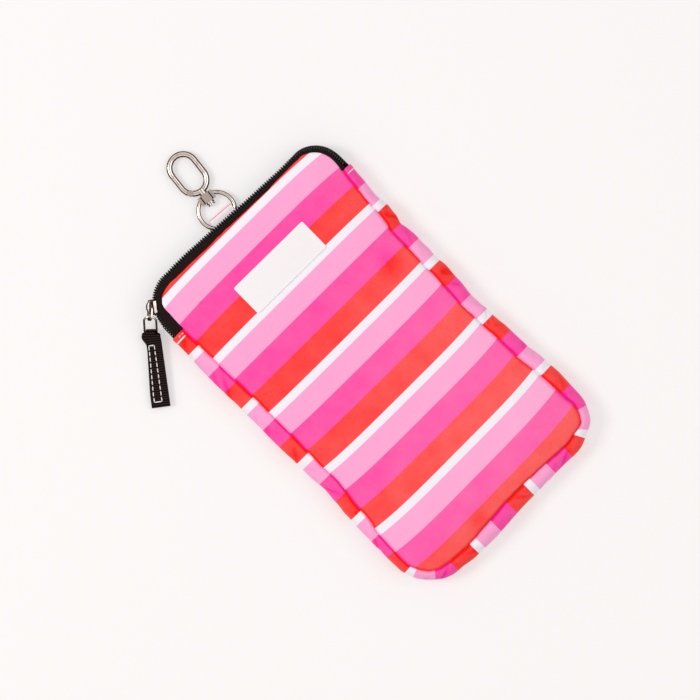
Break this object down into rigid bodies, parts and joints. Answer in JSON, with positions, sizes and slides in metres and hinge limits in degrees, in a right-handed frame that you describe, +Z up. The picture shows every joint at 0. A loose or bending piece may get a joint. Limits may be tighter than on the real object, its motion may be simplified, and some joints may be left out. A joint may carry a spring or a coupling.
{
  "type": "phone pouch",
  "caption": "Padded striped cloth phone pouch that zips round its top, with a webbing zip pull, a bare label and a spring-gate swivel hook on a cloth tab.",
  "frame": {"origin": "middle of the back face, on the table", "axes": "+X to the right across the pouch, +Y along it towards the zip and hook, +Z up out of the front"},
  "size_m": [0.1423, 0.2281, 0.0155],
  "materials": {
    "shell_cloth": "striped woven cloth, matt",
    "band_cloth": "striped woven cloth, matt",
    "padding": "soft foam padding",
    "lining": "smooth woven lining",
    "binding": "woven binding tape",
    "zip_tape": "woven zip tape",
    "zip_teeth": "moulded, matt",
    "plated_metal": "polished nickel plating",
    "webbing": "ribbed woven webbing",
    "label": "satin, bare",
    "tab_cloth": "woven cloth, matt",
    "spring_steel": "drawn wire"
  },
  "bodies": {
    "pouch": {"front_panel": "shell_cloth", "back_panel": "shell_cloth", "gusset_band": "band_cloth", "front_padding": "padding", "back_padding": "padding", "gusset_padding": "padding", "front_lining": "lining", "back_lining": "lining", "gusset_lining": "lining", "front_binding": "binding", "back_binding": "binding", "zip_tape_front": "zip_tape", "zip_tape_back": "zip_tape", "zip_teeth_front": "zip_teeth", "zip_teeth_back": "zip_teeth", "label_patch": "label"},
    "slider": {"slider_body": "plated_metal", "slider_bridge": "plated_metal"},
    "link": {"puller_link": "plated_metal"},
    "ring": {"puller_ring": "plated_metal"},
    "webbing": {"pull_webbing": "webbing"},
    "tab": {"ring_tab": "tab_cloth"},
    "loop": {"swivel_loop": "plated_metal"},
    "hook": {"hook_frame": "plated_metal", "swivel_post": "plated_metal", "gate_pin": "plated_metal", "gate_spring": "spring_steel"},
    "gate": {"gate": "plated_metal"}
  },
  "joints": [
    {"name": "zip_travel", "type": "hinge", "parent": "pouch", "child": "slider", "pos_m": [-0.0396, 0.07925, 0.0082], "axis": [0, 0, 1], "range_deg": [-40, 20]},
    {"name": "link_swing", "type": "hinge", "parent": "slider", "child": "link", "pos_m": [-0.05401, 0.08848, 0.00941], "axis": [0.4096, -0.2868, 0.866], "range_deg": [-76, 0]},
    {"name": "ring_tilt", "type": "hinge", "parent": "link", "child": "ring", "pos_m": [-0.05652, 0.08615, 0.00983], "axis": [0.694, -0.7189, 0.0389], "range_deg": [-75, 4]},
    {"name": "pull_fold", "type": "hinge", "parent": "ring", "child": "webbing", "pos_m": [-0.06153, 0.08097, 0.00334], "axis": [0.694, -0.7189, 0.0389], "range_deg": [-40, 25]},
    {"name": "tab_fold", "type": "hinge", "parent": "pouch", "child": "tab", "pos_m": [-0.0007, 0.08962, 0.00048], "axis": [1, 0, 0], "range_deg": [-70, 0]},
    {"name": "loop_turn", "type": "hinge", "parent": "tab", "child": "loop", "pos_m": [-0.0007, 0.09954, 0.00195], "axis": [0, 0, 1], "range_deg": [-55, 55]},
    {"name": "hook_swivel", "type": "hinge", "parent": "loop", "child": "hook", "pos_m": [-0.0007, 0.09954, 0.00195], "axis": [0.1115, 0.9938, 0], "continuous": true},
    {"name": "gate_open", "type": "hinge", "parent": "hook", "child": "gate", "pos_m": [-0.00384, 0.11351, 0.00195], "axis": [0, 0, -1], "range_deg": [0, 22], "stiffness_Nm_per_rad": 0.03, "springref_deg": -22.92}
  ]
}
